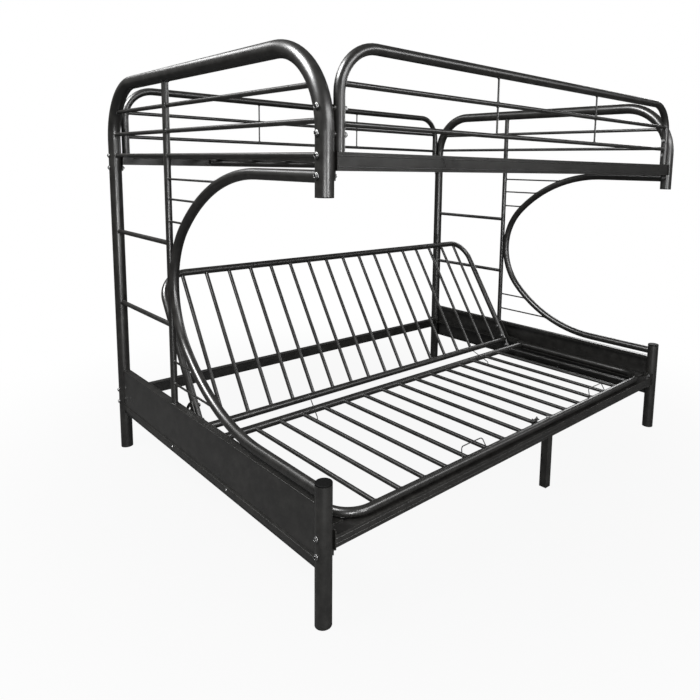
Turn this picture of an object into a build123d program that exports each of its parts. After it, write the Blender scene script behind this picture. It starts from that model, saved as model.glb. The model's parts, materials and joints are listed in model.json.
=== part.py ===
from build123d import *
from math import cos, radians, sin, sqrt
import os

os.makedirs("parts", exist_ok=True)

# Steel bunk bed with a folding sofa below. Millimetres, +Z up, length along X, front at -Y.
# The origin is on the floor, under the middle of the bed.

# Overall size, over the tubes
length = 2133.6
depth = 1574.8
height = 1651.0

# Tubes of the two end frames
leg_diameter = 50.8
leg_wall = 1.5
arch_bend = 228.6
stub_drop = 117.0
front_leg_top = 436.0
upright_diameter = 25.4
upright_wall = 1.2
upright_share = 0.2835
bar_diameter = 15.9
bar_wall = 1.2
bar_rises = (-10.0, 79.0, 172.0)
rung_diameter = 19.0
rung_wall = 1.2
rung_shares = (0.323, 0.651)
arc_diameter = 34.9
arc_wall = 1.5
arc_drop = 65.0
arc_rise = 32.0
arc_straight_share = 0.45
arc_turn = 45.0
spacer_diameter = 8.0
spacer_rises = (50.0, 140.0)
spacer_drops = (191.0, 107.0, 32.0)

# Plastic plugs and caps
plug_lip = 3.0
plug_depth = 22.0
tail_plug_depth = 9.0
plug_wall = 2.0
plug_fit = 0.1
cap_height = 6.0
cap_edge = 2.0

# End panel, pressed from sheet, and the ledge inside it
panel_sheet = 1.2
panel_bottom = 170.0
panel_top = 369.0
panel_lip = 12.0
panel_foot = 18.0
groove_height = 208.0
groove_width = 10.0
groove_depth = 3.0
ledge_sheet = 3.0
ledge_bottom = 178.0
ledge_width = 108.0
ledge_narrow = 46.0
ledge_step = 87.0
ledge_end_gap = 37.0

# Upper side rails, deck and guards
deck_drop = 307.0
rail_sheet = 2.5
rail_web = 50.0
rail_flange = 32.0
rail_offset = 16.0
slat_height = 19.0
slat_width = 30.0
slat_wall = 1.5
deck_slat_count = 14
deck_slat_margin = 70.0
spine_diameter = 22.0
spine_wall = 1.2
spine_margin = 38.0
guard_diameter = 31.75
guard_wall = 1.5
guard_bend = 127.0
guard_drop = 29.0
guard_bar_rises = (73.0, 177.0)
guard_gap = 6.0
spindle_diameter = 7.0
spindle_spread = 648.0

# Plates at the ends of the rails
end_plate = 3.0
plate_width = 44.0
plate_margin = 13.0
plate_tail_width = 22.0
stretcher_plate_margin = 8.0

# Lower front rail and rear stretcher
lower_sheet = 3.0
seat_rest = 267.0
front_rail_web = 38.0
front_rail_offset = 14.0
stretcher_top = 288.0
stretcher_web = 58.0
stretcher_flange = 28.0
stretcher_inset = 24.0

# Seat and backrest frames
seat_diameter = 30.0
seat_wall = 1.5
seat_bend = 100.0
seat_side_inset = 82.4
seat_front_inset = 13.0
seat_depth = 730.0
seat_tail = 25.0
slat_diameter = 15.9
slat_bore_wall = 1.2
slat_pitch = 110.0
seat_slat_count = 16
backrest_slat_count = 17
backrest_side_inset = 62.4
backrest_bend = 115.0
backrest_overhang = 10.0
backrest_tilt = 33.0
backrest_tail = 78.0
backrest_rail_drop = 30.0
rest_gap = 0.3

# Hinge between the seat ledge and the backrest
pivot_setback = 156.0
hinge_sheet = 4.0
hinge_side_gap = 0.5
hinge_foot_width = 34.0
hinge_foot_ahead = 212.0
hinge_foot_behind = 53.0
hinge_rib_back = 36.0
hinge_rib_front = 14.0
hinge_rim = 13.0
hinge_front = 22.0
pivot_diameter = 10.0
pivot_clearance = 0.05
stud_distance = 62.0
stud_end_gap = 0.4
slot_clearance = 0.4
pivot_head = 18.0
pivot_head_height = 5.0
pivot_nut = 16.0
pivot_nut_height = 8.0
pivot_nut_gap = 0.3
pivot_end = 4.0

# Fasteners
bolt_diameter = 8.0
bolt_head = 13.0
bolt_head_height = 5.0
bolt_fit = 0.1
bolt_tail = 10.0
nut_width = 13.0
nut_height = 6.5
head_taper = 25.0
rail_bolt_drops = (11.0, 63.0)
guard_bolt_rises = (45.0, 113.0)
lower_bolt_drops = (-8.0, 46.0)
screw_diameter = 5.0
screw_head = 10.0
screw_head_height = 2.5
screw_height = 190.0
screw_reach = 14.0
screw_spread = 440.0
hinge_bolt_spread = 90.0
hinge_bolt_ahead = 137.0
spacer_tube = 16.0

# Centre leg and seat clip
centre_leg_x = 109.0
centre_leg_width = 32.0
centre_leg_wall = 1.5
centre_plate = 3.0
clip_pitch_share = 0.5
clip_rod = 5.0
clip_spread = 32.0
clip_setback = 14.0
clip_drop = 38.0
clip_bend = 12.0
clip_plate = 3.0
clip_plate_length = 48.0
clip_plate_width = 16.0
clip_nut = 10.0
clip_nut_height = 5.0
clip_end = 5.0

# Wire loops on the seat front and wire arms over the seat's rear tube
wire_diameter = 4.0
loop_shares = (-0.342, 0.501)
loop_width = 140.0
loop_height = 32.0
loop_taper = 12.0
loop_lean = 20.0
loop_bend = 14.0
arm_pitch_shares = (-4.5, 5.5)
arm_behind = 107.0
arm_ahead = 113.0
arm_hook = 10.0
arm_bend = 8.0

# Places that follow from the sizes
end_x = length / 2 - leg_diameter / 2
leg_y = depth / 2 - leg_diameter / 2
top_z = height - leg_diameter / 2
deck_height = height - deck_drop
stub_bottom = deck_height - stub_drop
upright_y = leg_y * upright_share
bar_heights = [deck_height + rise for rise in bar_rises]
rung_heights = [panel_top + share * (deck_height - panel_top) for share in rung_shares]
arc_top = deck_height - arc_drop
arc_bottom = panel_top + arc_rise
spacer_heights = [
    *[arc_bottom + rise for rise in spacer_rises],
    *[arc_top - drop for drop in spacer_drops],
]
guard_top = height - guard_drop
guard_bar_heights = [deck_height + rise for rise in guard_bar_rises]
seat_front_y = -leg_y + seat_front_inset
seat_rear_y = seat_front_y + seat_depth
pivot_y = seat_rear_y + pivot_setback
backrest_reach = leg_y + backrest_overhang - pivot_y
joint_x = end_x - leg_diameter / 2
rail_end_x = joint_x - end_plate
panel_x = end_x + upright_diameter / 2
rail_face_y = leg_y + rail_offset
rail_inner_y = rail_face_y - rail_sheet
guard_x = joint_x - guard_gap - guard_diameter / 2
guard_y = leg_y
slat_top = deck_height - rail_sheet
seat_z = seat_rest + seat_diameter / 2
seat_x = end_x - seat_side_inset
backrest_x = end_x - backrest_side_inset
pivot_z = stretcher_top + rest_gap + seat_diameter / 2
front_rail_y = -leg_y - front_rail_offset
front_rail_flange = seat_front_y + seat_diameter / 2 - front_rail_y
stretcher_y = leg_y - stretcher_inset
ledge_end = leg_y - ledge_end_gap
hinge_x = backrest_x + seat_diameter / 2 + hinge_side_gap
overrun = leg_diameter


def save(piece, name):
    """Name a finished piece and write it."""
    piece.part.label = name
    export_step(piece.part, f"parts/{name}.step")


def solid_along(path, diameter):
    """Round solid along a wire."""
    with BuildPart() as rod:
        with BuildSketch(Plane(origin=path @ 0, z_dir=path % 0)):
            Circle(diameter / 2)
        sweep(path=path)
    return rod.part


def tube_along(path, diameter, wall):
    """Hollow round tube along a wire."""
    with BuildPart() as tube:
        with BuildSketch(Plane(origin=path @ 0, z_dir=path % 0)):
            Circle(diameter / 2)
            Circle(diameter / 2 - wall, mode=Mode.SUBTRACT)
        sweep(path=path)
    return tube.part


def rod(start, end, diameter):
    """Round solid between two points."""
    run = Vector(*end) - Vector(*start)
    with BuildPart() as solid:
        with BuildSketch(Plane(origin=start, z_dir=run)):
            Circle(diameter / 2)
        extrude(amount=run.length)
    return solid.part


def tube(start, end, diameter, wall):
    """Hollow round tube between two points."""
    run = Vector(*end) - Vector(*start)
    with BuildPart() as solid:
        with BuildSketch(Plane(origin=start, z_dir=run)):
            Circle(diameter / 2)
            Circle(diameter / 2 - wall, mode=Mode.SUBTRACT)
        extrude(amount=run.length)
    return solid.part


def bar_along_x(section, start_x, end_x_):
    """Straight bar along X with a section given as (y, z) points."""
    with BuildPart() as bar:
        with BuildSketch(Plane.YZ.offset(start_x)):
            Polygon(*section, align=None)
        extrude(amount=end_x_ - start_x)
    return bar.part


def bar_along_y(section, start_y, end_y):
    """Straight bar along Y with a section given as (x, z) points."""
    with BuildPart() as bar:
        with BuildSketch(Plane.XZ.offset(-start_y)):
            Polygon(*section, align=None)
        extrude(amount=start_y - end_y)
    return bar.part


def angle_section(corner, reach, drop, sheet):
    """L section with its corner at the top; reach is sideways and signed."""
    side = 1 if reach > 0 else -1
    u, v = corner
    return [
        (u, v),
        (u + reach, v),
        (u + reach, v - sheet),
        (u + side * sheet, v - sheet),
        (u + side * sheet, v - drop),
        (u, v - drop),
    ]


def mirrored(piece):
    """The same piece at the other end of the bed."""
    with BuildPart() as other:
        add(mirror(piece.part, about=Plane.YZ, mode=Mode.PRIVATE))
    return other


def both_ends(parts):
    """The parts of one end and their mirror images at the other end."""
    return [*parts, *[mirror(part, about=Plane.YZ, mode=Mode.PRIVATE) for part in parts]]


def hex_bolt(head_point, direction, reach):
    """Hexagon bolt from under its head along a direction."""
    axis = Vector(*direction)
    start = Vector(*head_point)
    with BuildPart() as bolt:
        with BuildSketch(Plane(origin=start, z_dir=axis)):
            Circle(bolt_diameter / 2)
        extrude(amount=reach)
        with BuildSketch(Plane(origin=start, z_dir=axis)):
            RegularPolygon(bolt_head / 2, side_count=6, major_radius=False)
        extrude(amount=-bolt_head_height)
    return bolt.part


def hex_nut(face_point, direction, width, thickness, bore):
    """Hexagon nut with its near face at a point, standing along a direction."""
    with BuildPart() as nut:
        with BuildSketch(Plane(origin=face_point, z_dir=direction)):
            RegularPolygon(width / 2, side_count=6, major_radius=False)
            Circle(bore / 2, mode=Mode.SUBTRACT)
        extrude(amount=thickness)
    return nut.part


def round_bolt(head_point, direction, size, reach, head, head_height):
    """Bolt or screw with a coned round head, from under its head along a direction."""
    axis = Vector(*direction)
    start = Vector(*head_point)
    with BuildPart() as bolt:
        with BuildSketch(Plane(origin=start, z_dir=axis)):
            Circle(size / 2)
        extrude(amount=reach)
        with BuildSketch(Plane(origin=start, z_dir=axis)):
            Circle(head / 2)
        extrude(amount=-head_height, taper=head_taper)
    return bolt.part


def plug(mouth, direction, diameter, wall, sleeve):
    """Hollow plastic plug for a tube end: a lip on the end and a sleeve inside it."""
    axis = Vector(*direction)
    start = Vector(*mouth)
    bore = diameter / 2 - wall - plug_fit
    with BuildPart() as insert:
        with BuildSketch(Plane(origin=start, z_dir=axis)):
            Circle(diameter / 2)
        extrude(amount=-plug_lip)
        with BuildSketch(Plane(origin=start, z_dir=axis)):
            Circle(bore)
            Circle(bore - plug_wall, mode=Mode.SUBTRACT)
        extrude(amount=sleeve)
    return insert.part


# Routes of the bent tubes at the left end
arch_path = FilletPolyline(
    (-end_x, leg_y, plug_lip),
    (-end_x, leg_y, top_z),
    (-end_x, -leg_y, top_z),
    (-end_x, -leg_y, stub_bottom),
    radius=arch_bend,
)
arch_envelope = solid_along(arch_path, leg_diameter)
front_leg_envelope = rod((-end_x, -leg_y, 0), (-end_x, -leg_y, front_leg_top), leg_diameter)
back_leg_envelope = rod((-end_x, leg_y, 0), (-end_x, leg_y, top_z - arch_bend), leg_diameter)
upright_envelope = rod((-end_x, upright_y, panel_top), (-end_x, upright_y, top_z), upright_diameter)

# The arc is flat at its ends, turns gently, and is tightest where it meets the upright
arc_apex_y = upright_y - upright_diameter / 2 - arc_diameter / 2
arc_start_y = -leg_y + arc_straight_share * leg_y
arc_middle_z = (arc_top + arc_bottom) / 2
arc_reach = arc_apex_y - arc_start_y
arc_half = arc_top - arc_middle_z
turn_sin = sin(radians(arc_turn))
turn_cos = cos(radians(arc_turn))
turn_det = turn_sin * turn_cos - (1 - turn_sin) * (1 - turn_cos)
arc_gentle = (arc_reach * turn_cos - arc_half * (1 - turn_sin)) / turn_det
arc_tight = (arc_half * turn_sin - arc_reach * (1 - turn_cos)) / turn_det

with BuildLine(Plane(origin=(-end_x, 0, 0), x_dir=(0, 1, 0), z_dir=(1, 0, 0))) as arc_line:
    upper_run = Line((-leg_y, arc_top), (arc_start_y, arc_top))
    upper_turn = JernArc(upper_run @ 1, upper_run % 1, arc_gentle, -arc_turn)
    middle_turn = JernArc(upper_turn @ 1, upper_turn % 1, arc_tight, -2 * (90 - arc_turn))
    lower_turn = JernArc(middle_turn @ 1, middle_turn % 1, arc_gentle, -arc_turn)
    lower_run = Line(lower_turn @ 1, (-leg_y, arc_bottom))
arc_path = arc_line.wires()[0]
arc_envelope = solid_along(arc_path, arc_diameter)


def arc_y(z):
    """Y of the arc's centre line at a height."""
    from_middle = abs(z - arc_middle_z)
    if from_middle < arc_tight * turn_cos:
        return arc_apex_y - arc_tight + sqrt(arc_tight**2 - from_middle**2)
    return arc_start_y + sqrt(arc_gentle**2 - (from_middle - arc_half + arc_gentle) ** 2)


# Heights of the bolts that run along X through the legs
rail_bolt_heights = [deck_height - drop for drop in rail_bolt_drops]
guard_bolt_heights = [deck_height + rise for rise in guard_bolt_rises]
lower_bolt_heights = [seat_rest - drop for drop in lower_bolt_drops]
stub_holes = [*rail_bolt_heights, *guard_bolt_heights]


def cross_hole(y, z, diameter):
    """Cutter for a hole right through a leg along X."""
    return rod((-end_x - leg_diameter, y, z), (-joint_x + leg_diameter, y, z), diameter)


hole_diameter = bolt_diameter + 2 * bolt_fit
stub_cutters = [cross_hole(-leg_y, z, hole_diameter) for z in stub_holes]
back_upper_cutters = [cross_hole(leg_y, z, hole_diameter) for z in rail_bolt_heights]
back_lower_cutters = [cross_hole(leg_y, z, hole_diameter) for z in lower_bolt_heights]
front_lower_cutters = [cross_hole(-leg_y, z, hole_diameter) for z in lower_bolt_heights]

# Arch of the end frame: back leg, top and front stub in one bent tube
arch_tube = tube_along(arch_path, leg_diameter, leg_wall)
with BuildPart() as left_arch_tube:
    add(arch_tube)
    add([*stub_cutters, *back_upper_cutters, *back_lower_cutters], mode=Mode.SUBTRACT)
save(left_arch_tube, "left_arch_tube")
save(mirrored(left_arch_tube), "right_arch_tube")

# Lower front leg
with BuildPart() as left_front_leg:
    add(tube((-end_x, -leg_y, plug_lip), (-end_x, -leg_y, front_leg_top - cap_height), leg_diameter, leg_wall))
    add(front_lower_cutters, mode=Mode.SUBTRACT)
save(left_front_leg, "left_front_leg")
save(mirrored(left_front_leg), "right_front_leg")

# Inner upright, cut to fit under the arch
with BuildPart() as left_upright:
    add(tube((-end_x, upright_y, panel_top), (-end_x, upright_y, top_z), upright_diameter, upright_wall))
    add(arch_envelope, mode=Mode.SUBTRACT)
save(left_upright, "left_upright")
save(mirrored(left_upright), "right_upright")

# Guard bars of the end frame, cut where they meet the arch and the upright
end_bars = [
    tube((-end_x, leg_y, z), (-end_x, -leg_y, z), bar_diameter, bar_wall) for z in bar_heights
]
with BuildPart() as left_end_bars:
    add(end_bars)
    add([arch_envelope, upright_envelope], mode=Mode.SUBTRACT)
save(left_end_bars, "left_end_bars")
save(mirrored(left_end_bars), "right_end_bars")

# Ladder rungs between the back leg and the upright
rungs = [
    tube((-end_x, leg_y, z), (-end_x, upright_y, z), rung_diameter, rung_wall) for z in rung_heights
]
with BuildPart() as left_rungs:
    add(rungs)
    add([back_leg_envelope, upright_envelope], mode=Mode.SUBTRACT)
with BuildPart() as ladder_rungs:
    add(both_ends([left_rungs.part]))
save(ladder_rungs, "ladder_rungs")

# Arc tube from the stub round to the front leg
arc_tube = tube_along(arc_path, arc_diameter, arc_wall)
with BuildPart() as left_arc_tube:
    add(arc_tube)
    add([arch_envelope, front_leg_envelope], mode=Mode.SUBTRACT)
save(left_arc_tube, "left_arc_tube")
save(mirrored(left_arc_tube), "right_arc_tube")

# Thin spacer rods between the upright and the arc
spacers = [
    rod((-end_x, upright_y, z), (-end_x, arc_y(z), z), spacer_diameter) for z in spacer_heights
]
with BuildPart() as left_spacers:
    add(spacers)
    add([upright_envelope, arc_envelope], mode=Mode.SUBTRACT)
with BuildPart() as spacer_rods:
    add(both_ends([left_spacers.part]))
save(spacer_rods, "spacer_rods")

# End panel: sheet pressed with a groove, a top flange with a lip and a foot flange
panel_inner_x = -panel_x + panel_sheet
screw_cutters = [
    rod((-panel_x - overrun, y, screw_height), (-panel_x + overrun, y, screw_height),
        screw_diameter + 2 * bolt_fit)
    for y in (-screw_spread / 2, screw_spread / 2)
]
with BuildPart() as left_end_panel:
    with BuildSketch(Plane.XZ.offset(-leg_y)):
        with BuildLine():
            skin = Polyline(
                (-panel_x + panel_foot, panel_bottom),
                (-panel_x, panel_bottom),
                (-panel_x, groove_height - groove_width / 2),
                (-panel_x + groove_depth, groove_height),
                (-panel_x, groove_height + groove_width / 2),
                (-panel_x, panel_top),
                (-panel_x + upright_diameter, panel_top),
                (-panel_x + upright_diameter, panel_top - panel_lip),
            )
            offset(skin, amount=panel_sheet, side=Side.RIGHT, kind=Kind.INTERSECTION)
        make_face()
    extrude(amount=2 * leg_y)
    add([back_leg_envelope, front_leg_envelope, *screw_cutters], mode=Mode.SUBTRACT)
save(left_end_panel, "left_end_panel")
save(mirrored(left_end_panel), "right_end_panel")

# Ledge inside the panel: an angle that carries the seat, narrower behind the hinge
groove_slope = 2 * groove_depth / groove_width
ledge_x = -panel_x + groove_depth + panel_sheet * sqrt(1 + groove_slope**2)
hinge_bolt_y = pivot_y - hinge_bolt_ahead
hinge_bolt_ys = (hinge_bolt_y - hinge_bolt_spread / 2, hinge_bolt_y + hinge_bolt_spread / 2)
ledge_step_y = pivot_y - ledge_step
hinge_bolt_x = -hinge_x - hinge_sheet - hinge_foot_width / 2
hinge_bolt_cutters = [
    rod((hinge_bolt_x, y, seat_rest - overrun), (hinge_bolt_x, y, seat_rest + overrun), hole_diameter)
    for y in hinge_bolt_ys
]
wide_ledge = bar_along_y(
    angle_section((ledge_x, seat_rest), ledge_width, seat_rest - ledge_bottom, ledge_sheet),
    -ledge_end, ledge_step_y)
narrow_ledge = bar_along_y(
    angle_section((ledge_x, seat_rest), ledge_narrow, seat_rest - ledge_bottom, ledge_sheet),
    ledge_step_y, ledge_end)
with BuildPart() as left_seat_ledge:
    add([wide_ledge, narrow_ledge])
    add([*screw_cutters, *hinge_bolt_cutters], mode=Mode.SUBTRACT)
save(left_seat_ledge, "left_seat_ledge")
save(mirrored(left_seat_ledge), "right_seat_ledge")

# Plugs in the feet and stubs, and caps on the lower front legs
left_foot_plugs = [
    plug((-end_x, y, plug_lip), (0, 0, 1), leg_diameter, leg_wall, plug_depth) for y in (-leg_y, leg_y)
]
with BuildPart() as foot_plugs:
    add(both_ends(left_foot_plugs))
save(foot_plugs, "foot_plugs")

left_stub_plug = plug((-end_x, -leg_y, stub_bottom), (0, 0, 1), leg_diameter, leg_wall, plug_depth)
with BuildPart() as stub_plugs:
    add(both_ends([left_stub_plug]))
save(stub_plugs, "stub_plugs")

cap_base = front_leg_top - cap_height
cap_bore = leg_diameter / 2 - leg_wall - plug_fit
with BuildPart() as left_cap:
    with BuildSketch(Plane.XY.offset(cap_base)):
        with Locations((-end_x, -leg_y)):
            Circle(leg_diameter / 2)
    extrude(amount=cap_height)
    fillet(left_cap.edges().sort_by(Axis.Z)[-1], cap_edge)
    with BuildSketch(Plane.XY.offset(cap_base)):
        with Locations((-end_x, -leg_y)):
            Circle(cap_bore)
            Circle(cap_bore - plug_wall, mode=Mode.SUBTRACT)
    extrude(amount=-plug_depth)
with BuildPart() as front_leg_caps:
    add(both_ends([left_cap.part]))
save(front_leg_caps, "front_leg_caps")

# Upper side rails: angles with the flange on top, facing in
front_rail_section = angle_section((-rail_face_y, deck_height), rail_flange, rail_web, rail_sheet)
with BuildPart() as upper_front_rail:
    add(bar_along_x(front_rail_section, -rail_end_x, rail_end_x))
save(upper_front_rail, "upper_front_rail")

back_rail_section = angle_section((rail_face_y, deck_height), -rail_flange, rail_web, rail_sheet)
with BuildPart() as upper_back_rail:
    add(bar_along_x(back_rail_section, -rail_end_x, rail_end_x))
save(upper_back_rail, "upper_back_rail")


def end_plate_block(from_y, to_y, tail_y, tail_low, low, high):
    """Plate against the inner side of a left leg, with a narrow tail below the rail."""
    tail_from = tail_y - plate_tail_width / 2
    tail_to = tail_y + plate_tail_width / 2
    section = [
        (tail_from, tail_low), (tail_to, tail_low), (tail_to, low), (to_y, low),
        (to_y, high), (from_y, high), (from_y, low), (tail_from, low),
    ]
    return bar_along_x(section, -joint_x, -rail_end_x)


plate_outer_y = leg_y + plate_width / 2
plate_inner_y = leg_y - plate_width / 2
upper_tail_low = rail_bolt_heights[-1] - plate_margin
upper_plate_low = deck_height - rail_web
upper_plates = [
    end_plate_block(-plate_outer_y, -plate_inner_y, -leg_y, upper_tail_low, upper_plate_low, deck_height),
    end_plate_block(plate_inner_y, plate_outer_y, leg_y, upper_tail_low, upper_plate_low, deck_height),
]
with BuildPart() as left_upper_plates:
    add(upper_plates)
    add([*stub_cutters, *back_upper_cutters], mode=Mode.SUBTRACT)
with BuildPart() as upper_rail_plates:
    add(both_ends([left_upper_plates.part]))
save(upper_rail_plates, "upper_rail_plates")

# Deck slats: flat tubes that butt against the rail webs under the flanges
deck_pitch = 2 * (rail_end_x - deck_slat_margin) / (deck_slat_count - 1)
deck_slat_xs = [-rail_end_x + deck_slat_margin + i * deck_pitch for i in range(deck_slat_count)]
with BuildPart() as deck_slats:
    with BuildSketch(Plane.XZ.offset(-rail_inner_y)):
        with Locations(*[(x, slat_top - slat_height / 2) for x in deck_slat_xs]):
            Rectangle(slat_width, slat_height)
            Rectangle(slat_width - 2 * slat_wall, slat_height - 2 * slat_wall, mode=Mode.SUBTRACT)
    extrude(amount=2 * rail_inner_y)
save(deck_slats, "deck_slats")

# Centre spine under the slats
spine_z = slat_top - slat_height - spine_diameter / 2
spine_x = joint_x - spine_margin
with BuildPart() as deck_spine:
    add(tube((-spine_x, 0, spine_z), (spine_x, 0, spine_z), spine_diameter, spine_wall))
save(deck_spine, "deck_spine")

# Guards: a bent tube standing on each rail, two bars and two thin spindles
def guard_route(y):
    """Centre line of a guard tube."""
    return FilletPolyline(
        (-guard_x, y, deck_height),
        (-guard_x, y, guard_top),
        (guard_x, y, guard_top),
        (guard_x, y, deck_height),
        radius=guard_bend,
    )


guard_bolt_cutters = [
    rod((-end_x, -guard_y, z), (-guard_x + guard_diameter, -guard_y, z), hole_diameter)
    for z in guard_bolt_heights
]
front_route = guard_route(-guard_y)
back_route = guard_route(guard_y)
with BuildPart() as front_guard_tube:
    add(tube_along(front_route, guard_diameter, guard_wall))
    add(both_ends(guard_bolt_cutters), mode=Mode.SUBTRACT)
save(front_guard_tube, "front_guard_tube")

with BuildPart() as back_guard_tube:
    add(tube_along(back_route, guard_diameter, guard_wall))
save(back_guard_tube, "back_guard_tube")

guard_envelopes = [solid_along(route, guard_diameter) for route in (front_route, back_route)]
bar_ends = [
    ((-guard_x, y, z), (guard_x, y, z)) for y in (-guard_y, guard_y) for z in guard_bar_heights
]
guard_tubes = [tube(start, end, bar_diameter, bar_wall) for start, end in bar_ends]
bar_envelopes = [rod(start, end, bar_diameter) for start, end in bar_ends]
with BuildPart() as guard_bars:
    add(guard_tubes)
    add(guard_envelopes, mode=Mode.SUBTRACT)
save(guard_bars, "guard_bars")

spindles = [
    rod((x, y, guard_bar_heights[0]), (x, y, guard_top), spindle_diameter)
    for x in (-spindle_spread / 2, spindle_spread / 2)
    for y in (-guard_y, guard_y)
]
with BuildPart() as guard_spindles:
    add(spindles)
    add([*guard_envelopes, *bar_envelopes], mode=Mode.SUBTRACT)
save(guard_spindles, "guard_spindles")

# Lower front rail: an angle under the seat's front tube
lower_bolt_cutters = [*front_lower_cutters, *back_lower_cutters]
centre_bolt_start = (centre_leg_x, seat_front_y, seat_z + seat_diameter / 2)
centre_bolt_cutter = rod(
    centre_bolt_start, (centre_leg_x, seat_front_y, seat_rest - overrun), hole_diameter)
with BuildPart() as lower_front_rail:
    add(bar_along_x(
        angle_section((front_rail_y, seat_rest), front_rail_flange, front_rail_web, lower_sheet),
        -rail_end_x, rail_end_x))
    add(centre_bolt_cutter, mode=Mode.SUBTRACT)
save(lower_front_rail, "lower_front_rail")

# Rear stretcher between the back legs; the open backrest lies on it
with BuildPart() as rear_stretcher:
    add(bar_along_x(
        angle_section((stretcher_y, stretcher_top), -stretcher_flange, stretcher_web, lower_sheet),
        -rail_end_x, rail_end_x))
save(rear_stretcher, "rear_stretcher")

lower_tail_low = lower_bolt_heights[-1] - plate_margin
lower_plate_low = seat_rest - front_rail_web
stretcher_low = stretcher_top - stretcher_web
stretcher_plate_y = stretcher_y - stretcher_plate_margin
lower_plates = [
    end_plate_block(-plate_outer_y, -plate_inner_y, -leg_y, lower_tail_low, lower_plate_low, stretcher_top),
    end_plate_block(stretcher_plate_y, plate_outer_y, leg_y, lower_tail_low, stretcher_low, stretcher_top),
]
with BuildPart() as left_lower_plates:
    add(lower_plates)
    add(lower_bolt_cutters, mode=Mode.SUBTRACT)
with BuildPart() as lower_rail_plates:
    add(both_ends([left_lower_plates.part]))
save(lower_rail_plates, "lower_rail_plates")

# Seat frame: a tube bent round the front corners, with a straight rear tube
seat_route = FilletPolyline(
    (-seat_x, seat_rear_y + seat_tail, seat_z),
    (-seat_x, seat_front_y, seat_z),
    (seat_x, seat_front_y, seat_z),
    (seat_x, seat_rear_y + seat_tail, seat_z),
    radius=seat_bend,
)
seat_envelope = solid_along(seat_route, seat_diameter)
seat_tube = tube_along(seat_route, seat_diameter, seat_wall)
with BuildPart() as seat_frame_tube:
    add(seat_tube)
    add(centre_bolt_cutter, mode=Mode.SUBTRACT)
save(seat_frame_tube, "seat_frame_tube")

seat_rear = tube((-seat_x, seat_rear_y, seat_z), (seat_x, seat_rear_y, seat_z), seat_diameter, seat_wall)
seat_rear_envelope = rod((-seat_x, seat_rear_y, seat_z), (seat_x, seat_rear_y, seat_z), seat_diameter)
with BuildPart() as seat_rear_tube:
    add(seat_rear)
    add(seat_envelope, mode=Mode.SUBTRACT)
save(seat_rear_tube, "seat_rear_tube")

seat_slat_xs = [(i - (seat_slat_count - 1) / 2) * slat_pitch for i in range(seat_slat_count)]
seat_slat_tubes = [
    tube((x, seat_front_y, seat_z), (x, seat_rear_y, seat_z), slat_diameter, slat_bore_wall)
    for x in seat_slat_xs
]
with BuildPart() as seat_slats:
    add(seat_slat_tubes)
    add([seat_envelope, seat_rear_envelope], mode=Mode.SUBTRACT)
save(seat_slats, "seat_slats")

left_seat_plug = plug(
    (-seat_x, seat_rear_y + seat_tail, seat_z), (0, -1, 0), seat_diameter, seat_wall, tail_plug_depth)
with BuildPart() as seat_end_plugs:
    add(both_ends([left_seat_plug]))
save(seat_end_plugs, "seat_end_plugs")

# Centre leg: a square tube with a plate on top, bolted down through the seat tube and the rail
leg_top_z = seat_rest - lower_sheet - centre_plate
centre_bore = centre_leg_width - 2 * centre_leg_wall
with BuildPart() as centre_leg:
    with BuildSketch(Plane.XY.offset(plug_lip)):
        with Locations((centre_leg_x, seat_front_y)):
            Rectangle(centre_leg_width, centre_leg_width)
            Rectangle(centre_bore, centre_bore, mode=Mode.SUBTRACT)
    extrude(amount=leg_top_z - plug_lip)
save(centre_leg, "centre_leg")

with BuildPart() as centre_leg_foot:
    with BuildSketch(Plane.XY):
        with Locations((centre_leg_x, seat_front_y)):
            Rectangle(centre_leg_width, centre_leg_width)
    extrude(amount=plug_lip)
    with BuildSketch(Plane.XY.offset(plug_lip)):
        with Locations((centre_leg_x, seat_front_y)):
            Rectangle(centre_bore - 2 * plug_fit, centre_bore - 2 * plug_fit)
            Rectangle(centre_bore - 2 * plug_wall, centre_bore - 2 * plug_wall, mode=Mode.SUBTRACT)
    extrude(amount=plug_depth)
save(centre_leg_foot, "centre_leg_foot")

with BuildPart() as centre_leg_plate:
    with BuildSketch(Plane.XY.offset(leg_top_z)):
        with Locations((centre_leg_x, seat_front_y)):
            Rectangle(centre_leg_width, centre_leg_width)
            Circle(hole_diameter / 2, mode=Mode.SUBTRACT)
    extrude(amount=centre_plate)
save(centre_leg_plate, "centre_leg_plate")

with BuildPart() as centre_leg_bolt:
    add(hex_bolt(centre_bolt_start, (0, 0, -1), seat_diameter + lower_sheet + centre_plate + bolt_tail))
save(centre_leg_bolt, "centre_leg_bolt")

# Seat clip: a U rod that hangs under the seat, held over a slat by a plate and two nuts
clip_x = clip_pitch_share * slat_pitch
clip_y = seat_front_y + seat_diameter / 2 + clip_setback
clip_seat = seat_z + slat_diameter / 2
clip_top = clip_seat + clip_plate + clip_nut_height + clip_end
clip_low = seat_rest - front_rail_web - clip_drop
clip_left = clip_x - clip_spread / 2
clip_right = clip_x + clip_spread / 2
clip_holes = [(clip_left, clip_y), (clip_right, clip_y)]
clip_route = FilletPolyline(
    (clip_left, clip_y, clip_top),
    (clip_left, clip_y, clip_low),
    (clip_right, clip_y, clip_low),
    (clip_right, clip_y, clip_top),
    radius=clip_bend,
)
with BuildPart() as seat_clip_rod:
    add(solid_along(clip_route, clip_rod))
save(seat_clip_rod, "seat_clip_rod")

with BuildPart() as seat_clip_plate:
    with BuildSketch(Plane.XY.offset(clip_seat)):
        with Locations((clip_x, clip_y)):
            Rectangle(clip_plate_length, clip_plate_width)
        with Locations(*clip_holes):
            Circle(clip_rod / 2 + bolt_fit, mode=Mode.SUBTRACT)
    extrude(amount=clip_plate)
save(seat_clip_plate, "seat_clip_plate")

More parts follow.
